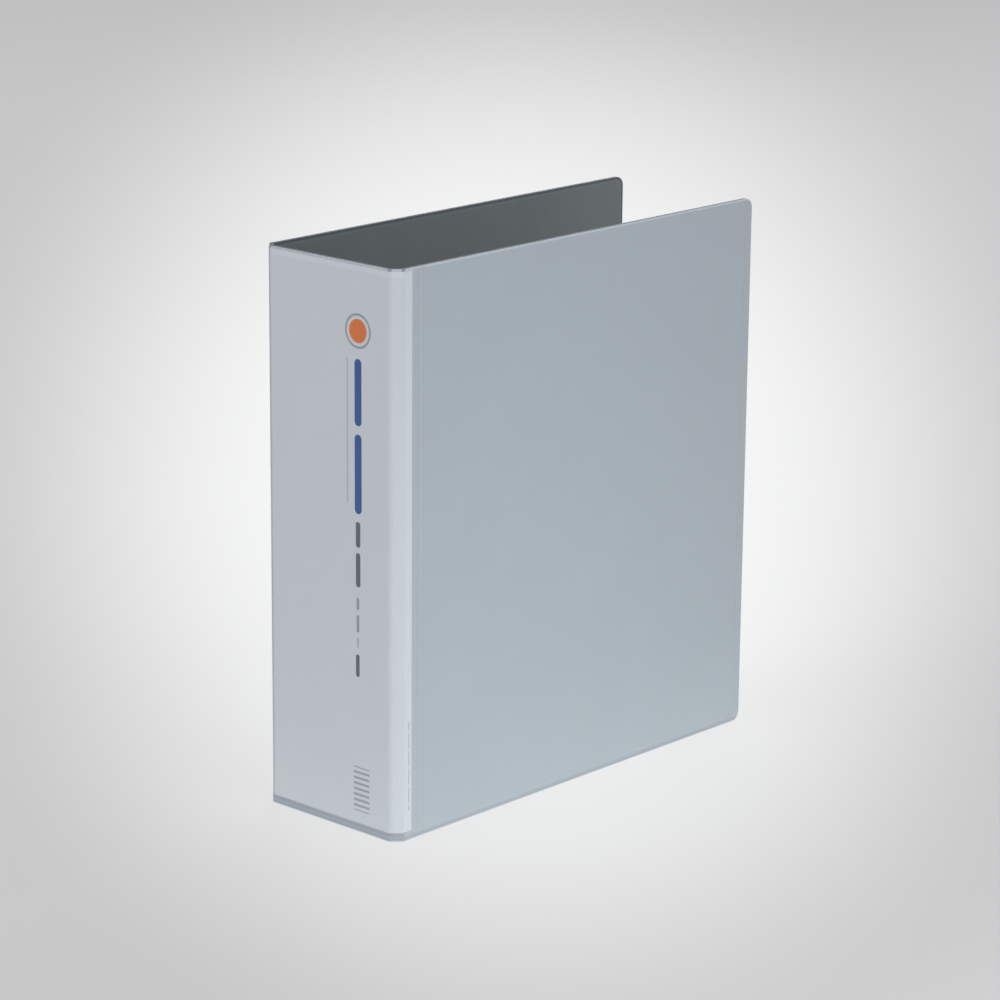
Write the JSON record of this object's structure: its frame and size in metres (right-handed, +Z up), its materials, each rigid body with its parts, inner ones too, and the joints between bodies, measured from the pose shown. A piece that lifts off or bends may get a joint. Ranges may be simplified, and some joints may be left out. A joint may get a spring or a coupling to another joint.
{
  "type": "ring binder",
  "caption": "Upright insert-view ring binder with a folding plastic case, clear film, a blank-labelled spine insert and a lever-operated D-ring mechanism on the back cover.",
  "frame": {"origin": "centre of the bounding box's bottom face, on the surface that the binder stands on", "axes": "+Z up along the spine, +Y from the spine to the fore-edge, +X from the back cover to the front cover"},
  "size_m": [0.102, 0.295, 0.318],
  "materials": {
    "board": "satin grained, light blue-grey outside and dark grey inside",
    "film": "clear glossy film",
    "insert": "matt printed sheet",
    "housing": "nickel plated",
    "plate": "nickel plated, satin",
    "wire": "nickel plated, polished",
    "lever": "nickel plated",
    "cap": "moulded black",
    "rivet": "nickel plated"
  },
  "bodies": {
    "back": {"back_cover": "board", "film_back_cover": "film", "insert_back_flap": "insert", "ring_housing": "housing", "lever_pin_top": "lever", "lever_pin_bottom": "lever", "post_rivets": "rivet"},
    "back_strip": {"back_hinge_strip": "board", "film_back_strip": "film", "insert_back_strip": "insert"},
    "spine": {"spine_panel": "board", "film_spine": "film", "insert_spine": "insert"},
    "front_strip": {"front_hinge_strip": "board", "film_front_strip": "film", "insert_front_strip": "insert"},
    "front": {"front_cover": "board", "film_front_cover": "film", "insert_front_flap": "insert"},
    "post_rings": {"plate_fore_side": "plate", "post_prong_1": "wire", "post_prong_2": "wire", "post_prong_3": "wire", "post_prong_4": "wire"},
    "curved_rings": {"plate_spine_side": "plate", "curved_prong_1": "wire", "curved_prong_2": "wire", "curved_prong_3": "wire", "curved_prong_4": "wire"},
    "top_lever": {"lever_top": "lever", "lever_cap_top": "cap"},
    "bottom_lever": {"lever_bottom": "lever", "lever_cap_bottom": "cap"}
  },
  "joints": [
    {"name": "back_cover_fold", "type": "hinge", "parent": "back", "child": "back_strip", "pos_m": [-0.05055, -0.14175, 0], "axis": [0, 0, -1], "range_deg": [0, 45]},
    {"name": "back_spine_fold", "type": "hinge", "parent": "back_strip", "child": "spine", "pos_m": [-0.04525, -0.14705, 0], "axis": [0, 0, -1], "range_deg": [0, 45]},
    {"name": "front_spine_fold", "type": "hinge", "parent": "spine", "child": "front_strip", "pos_m": [0.04525, -0.14705, 0], "axis": [0, 0, -1], "range_deg": [0, 90]},
    {"name": "front_cover_fold", "type": "hinge", "parent": "front_strip", "child": "front", "pos_m": [0.05055, -0.14175, 0], "axis": [0, 0, -1], "range_deg": [0, 90]},
    {"name": "ring_opening", "type": "hinge", "parent": "back", "child": "post_rings", "pos_m": [-0.04495, -0.08185, 0.159], "axis": [0, 0, 1], "range_deg": [0, 15]},
    {"name": "curved_ring_opening", "type": "hinge", "parent": "back", "child": "curved_rings", "pos_m": [-0.04495, -0.11825, 0.159], "axis": [0, 0, -1], "range_deg": [0, 15]},
    {"name": "top_lever_press", "type": "hinge", "parent": "back", "child": "top_lever", "pos_m": [-0.04295, -0.10005, 0.289], "axis": [0, -1, 0], "range_deg": [0, 28]},
    {"name": "bottom_lever_press", "type": "hinge", "parent": "back", "child": "bottom_lever", "pos_m": [-0.04295, -0.10005, 0.029], "axis": [0, 1, 0], "range_deg": [0, 28]}
  ],
  "couplings": [
    {"joint": "back_cover_fold", "follows": "back_spine_fold", "ratio": 1},
    {"joint": "front_spine_fold", "follows": "front_cover_fold", "ratio": 1},
    {"joint": "curved_ring_opening", "follows": "ring_opening", "ratio": 1},
    {"joint": "top_lever_press", "follows": "ring_opening", "ratio": 1.8662},
    {"joint": "bottom_lever_press", "follows": "ring_opening", "ratio": 1.8662}
  ]
}
